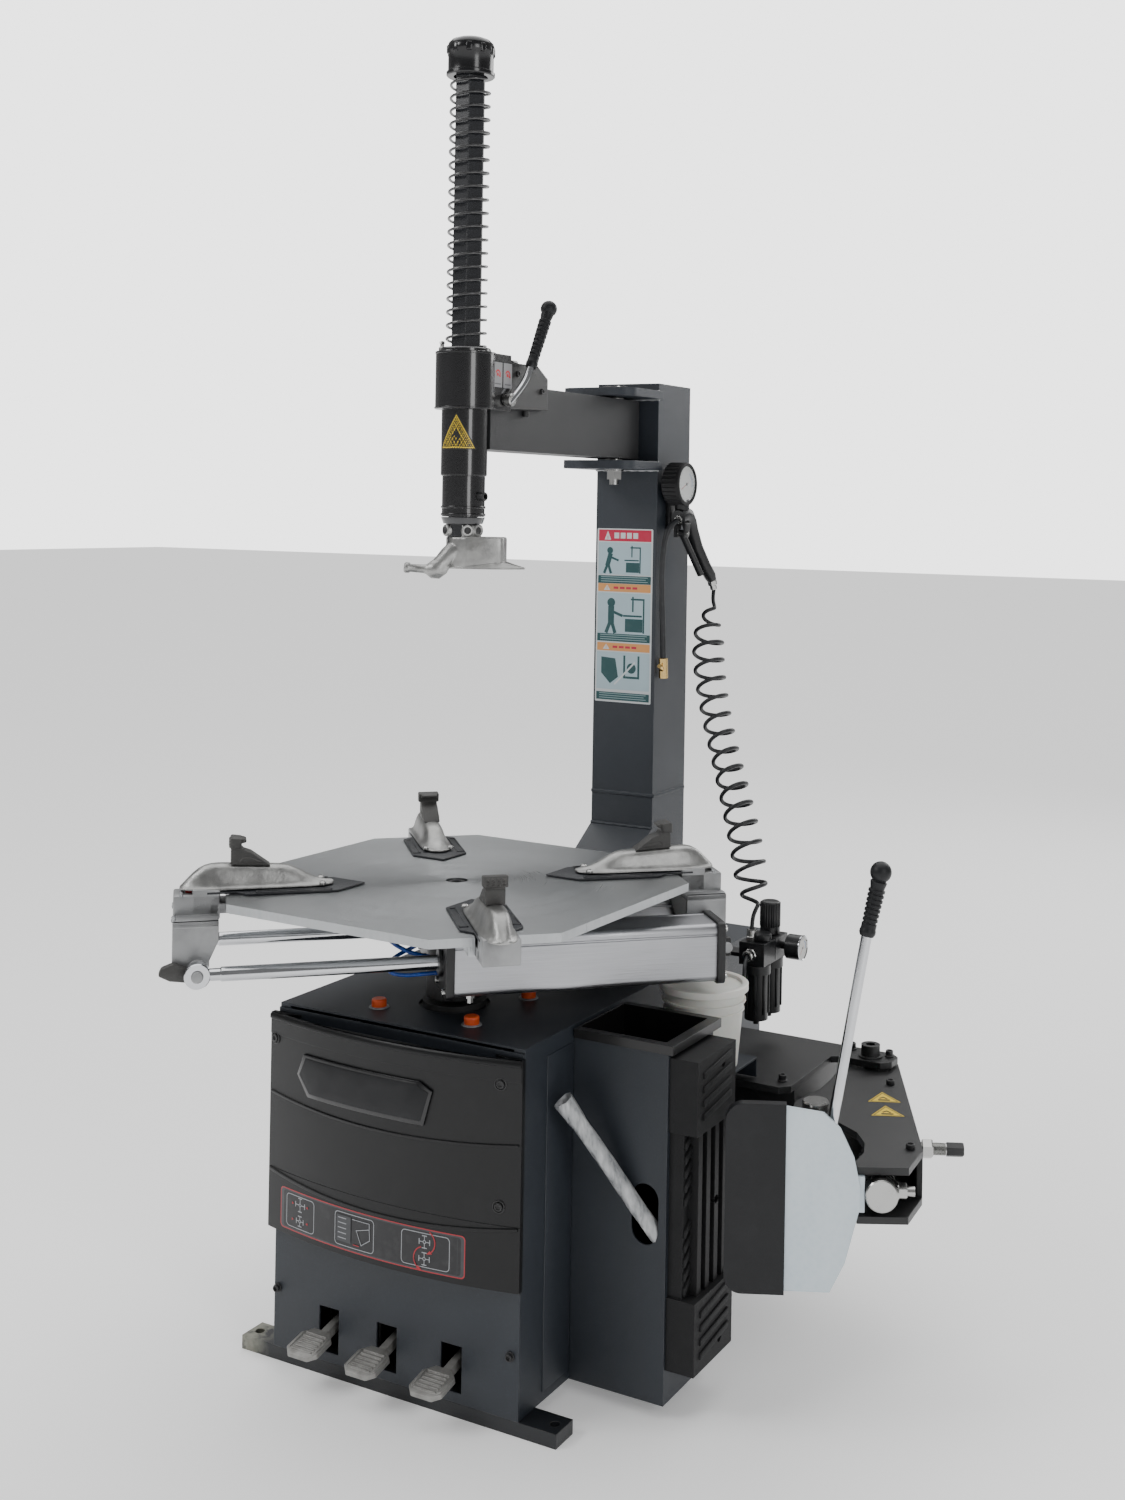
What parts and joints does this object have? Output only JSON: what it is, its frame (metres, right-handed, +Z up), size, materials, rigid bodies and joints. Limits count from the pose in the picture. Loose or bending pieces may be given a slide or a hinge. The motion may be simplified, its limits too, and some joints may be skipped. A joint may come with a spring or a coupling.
{
  "type": "tyre changer",
  "caption": "Swing-arm tyre changer with a clamping turntable, spring-return mount head, side bead breaker, foot pedals and an air inflator on its column.",
  "frame": {"origin": "on the floor, under the axis of the turntable", "axes": "+X to the operator's right, +Y to the back of the machine, +Z up"},
  "size_m": [1.0426, 0.9896, 1.943],
  "materials": {
    "powder_coat": "fine-textured satin powder coat",
    "gloss_black": "glossy black",
    "dark_cast": "dark grey painted casting",
    "black_plastic": "fine grain",
    "turntable_steel": "radially ground",
    "brushed_aluminium": "brushed extrusion",
    "cast_steel": "cast, satin",
    "chrome": "polished",
    "galvanised": "galvanised sheet",
    "black_steel": "black oxide",
    "spring_steel": "black",
    "rubber": "matte",
    "orange_plastic": "semi-gloss",
    "white_plastic": "semi-matte",
    "wrapped_steel": "steel in a clear sleeve",
    "brass": "satin",
    "motor_paint": "satin",
    "hose": "semi-gloss hose"
  },
  "bodies": {
    "frame": {"cabinet_shell": "powder_coat", "front_plate": "powder_coat", "foot_bars": "powder_coat", "fascia_upper": "black_plastic", "fascia_lower": "black_plastic", "side_housing": "powder_coat", "side_guard": "rubber", "tool_tray": "black_plastic", "plug_caps": "orange_plastic", "gearbox": "dark_cast", "motor": "motor_paint", "drive_belt": "rubber", "pedal_bracket": "black_steel", "column": "powder_coat", "arm_pivot_pin": "galvanised", "bb_support": "black_steel", "frl_unit": "black_plastic", "inflator_gun": "black_plastic", "coil_hose": "hose", "inflator_hose": "hose", "frl_hose": "hose", "air_chuck": "brass"},
    "turntable": {"turntable_plate": "turntable_steel", "turntable_hub": "black_steel"},
    "worm_pulley": {"gearbox_pulley": "dark_cast"},
    "motor_rotor": {"motor_pulley": "dark_cast"},
    "sync": {"sync_plate": "black_steel"},
    "jaw_right": {"jaw_right": "cast_steel", "clamp_cylinders": "brushed_aluminium"},
    "link_right": {"sync_link_right": "black_steel"},
    "jaw_back": {"jaw_back": "cast_steel"},
    "link_back": {"sync_link_back": "black_steel"},
    "jaw_left": {"jaw_left": "cast_steel", "clamp_rods": "chrome"},
    "link_left": {"sync_link_left": "black_steel"},
    "jaw_front": {"jaw_front": "cast_steel"},
    "link_front": {"sync_link_front": "black_steel"},
    "arm": {"swing_arm": "dark_cast", "arm_housing": "gloss_black", "lock_cover": "dark_cast", "guide_sleeve": "gloss_black", "return_spring": "spring_steel"},
    "shaft": {"hex_shaft": "gloss_black", "shaft_cap": "black_plastic", "mount_head": "cast_steel"},
    "lock_lever": {"lock_lever": "chrome"},
    "bead_arm": {"bb_arm": "black_steel", "bb_arm_pins": "galvanised", "bb_blade": "galvanised", "bb_blade_cover": "black_plastic", "bb_handle": "chrome"},
    "bead_cylinder": {"bb_cylinder": "brushed_aluminium"},
    "bead_rod": {"bb_rod": "chrome"},
    "pedal_left": {"pedal_left": "cast_steel"},
    "pedal_middle": {"pedal_middle": "cast_steel"},
    "pedal_right": {"pedal_right": "cast_steel"},
    "trigger": {"inflator_trigger": "black_steel"},
    "regulator_knob": {"frl_knob": "black_plastic"},
    "bucket": {"bucket": "white_plastic"},
    "lever_bar": {"pry_bar": "wrapped_steel"}
  },
  "joints": [
    {"name": "turntable_spin", "type": "hinge", "parent": "frame", "child": "turntable", "pos_m": [0, 0, 0.7], "axis": [0, 0, 1], "continuous": true},
    {"name": "worm_spin", "type": "hinge", "parent": "frame", "child": "worm_pulley", "pos_m": [-0.167, 0.055, 0.44], "axis": [1, 0, 0], "continuous": true},
    {"name": "motor_spin", "type": "hinge", "parent": "frame", "child": "motor_rotor", "pos_m": [-0.167, 0.03, 0.17], "axis": [1, 0, 0], "continuous": true},
    {"name": "jaw_left_slide", "type": "slide", "parent": "turntable", "child": "jaw_left", "axis": [0.7266, 0.6871, 0], "range_m": [0, 0.1]},
    {"name": "jaw_right_slide", "type": "slide", "parent": "turntable", "child": "jaw_right", "axis": [-0.7266, -0.6871, 0], "range_m": [0, 0.1]},
    {"name": "jaw_back_slide", "type": "slide", "parent": "turntable", "child": "jaw_back", "axis": [0.6871, -0.7266, 0], "range_m": [0, 0.1]},
    {"name": "jaw_front_slide", "type": "slide", "parent": "turntable", "child": "jaw_front", "axis": [-0.6871, 0.7266, 0], "range_m": [0, 0.1]},
    {"name": "sync_turn", "type": "hinge", "parent": "turntable", "child": "sync", "pos_m": [0, 0, 0.66], "axis": [0, 0, 1], "range_deg": [0, 66.6]},
    {"name": "link_right_turn", "type": "hinge", "parent": "jaw_right", "child": "link_right", "pos_m": [0.16348, 0.1546, 0.668], "axis": [0, 0, 1], "range_deg": [-22.01, 0]},
    {"name": "link_back_turn", "type": "hinge", "parent": "jaw_back", "child": "link_back", "pos_m": [-0.1546, 0.16348, 0.668], "axis": [0, 0, 1], "range_deg": [-22.01, 0]},
    {"name": "link_left_turn", "type": "hinge", "parent": "jaw_left", "child": "link_left", "pos_m": [-0.16348, -0.1546, 0.668], "axis": [0, 0, 1], "range_deg": [-22.01, 0]},
    {"name": "link_front_turn", "type": "hinge", "parent": "jaw_front", "child": "link_front", "pos_m": [0.1546, -0.16348, 0.668], "axis": [0, 0, 1], "range_deg": [-22.01, 0]},
    {"name": "arm_swing", "type": "hinge", "parent": "frame", "child": "arm", "pos_m": [0, 0.452, 1.386], "axis": [0, 0, 1], "range_deg": [0, 100]},
    {"name": "shaft_slide", "type": "slide", "parent": "arm", "child": "shaft", "axis": [0, 0, 1], "range_m": [-0.31, 0], "stiffness_N_per_m": 600, "springref_m": 0.27, "deforming": ["return_spring"]},
    {"name": "lock_lever_turn", "type": "hinge", "parent": "arm", "child": "lock_lever", "pos_m": [0.05, 0.046, 1.411], "axis": [1, 0, 0], "range_deg": [0, 60]},
    {"name": "bead_arm_swing", "type": "hinge", "parent": "frame", "child": "bead_arm", "pos_m": [0.473, 0.475, 0.334], "axis": [0, 0, 1], "range_deg": [-5, 33]},
    {"name": "bead_cylinder_swing", "type": "hinge", "parent": "frame", "child": "bead_cylinder", "pos_m": [-0.15, 0.262, 0.334], "axis": [0, 0, 1], "range_deg": [-0.4, 2.45]},
    {"name": "bead_rod_slide", "type": "slide", "parent": "bead_cylinder", "child": "bead_rod", "axis": [0.9999, -0.0142, 0], "range_m": [-0.0205, 0.1345]},
    {"name": "pedal_left_press", "type": "hinge", "parent": "frame", "child": "pedal_left", "pos_m": [-0.117, -0.062, 0.078], "axis": [1, 0, 0], "range_deg": [0, 9.17], "stiffness_Nm_per_rad": 16, "springref_deg": -6.88},
    {"name": "pedal_middle_press", "type": "hinge", "parent": "frame", "child": "pedal_middle", "pos_m": [-0.015, -0.062, 0.078], "axis": [1, 0, 0], "range_deg": [0, 9.17], "stiffness_Nm_per_rad": 16, "springref_deg": -6.88},
    {"name": "pedal_right_press", "type": "hinge", "parent": "frame", "child": "pedal_right", "pos_m": [0.095, -0.062, 0.078], "axis": [1, 0, 0], "range_deg": [0, 9.17], "stiffness_Nm_per_rad": 16, "springref_deg": -6.88},
    {"name": "trigger_squeeze", "type": "hinge", "parent": "frame", "child": "trigger", "pos_m": [0.094, 0.528, 1.21], "axis": [1, 0, 0], "range_deg": [0, 6.88], "stiffness_Nm_per_rad": 1.5, "springref_deg": -5.73},
    {"name": "regulator_turn", "type": "hinge", "parent": "frame", "child": "regulator_knob", "pos_m": [0.292, 0.482, 0.58], "axis": [0, 0, 1], "range_deg": [-148.97, 148.97]},
    {"name": "bucket_slide", "type": "slide", "parent": "frame", "child": "bucket", "axis": [1, 0, 0], "range_m": [0, 0.045]},
    {"name": "lever_bar_pull", "type": "slide", "parent": "frame", "child": "lever_bar", "axis": [-0.4791, -0.3169, 0.8185], "range_m": [0, 0.02]}
  ],
  "couplings": [
    {"joint": "worm_spin", "follows": "turntable_spin", "ratio": 10},
    {"joint": "motor_spin", "follows": "turntable_spin", "ratio": 20.667},
    {"joint": "jaw_right_slide", "follows": "jaw_left_slide", "ratio": 1},
    {"joint": "jaw_back_slide", "follows": "jaw_left_slide", "ratio": 1},
    {"joint": "jaw_front_slide", "follows": "jaw_left_slide", "ratio": 1},
    {"joint": "sync_turn", "follows": "jaw_left_slide", "rad_per_m": 11.618},
    {"joint": "link_right_turn", "follows": "jaw_left_slide", "rad_per_m": -3.84},
    {"joint": "link_back_turn", "follows": "jaw_left_slide", "rad_per_m": -3.84},
    {"joint": "link_left_turn", "follows": "jaw_left_slide", "rad_per_m": -3.84},
    {"joint": "link_front_turn", "follows": "jaw_left_slide", "rad_per_m": -3.84},
    {"joint": "bead_cylinder_swing", "follows": "bead_arm_swing", "ratio": 0.0727},
    {"joint": "bead_rod_slide", "follows": "bead_arm_swing", "m_per_rad": 0.211}
  ]
}
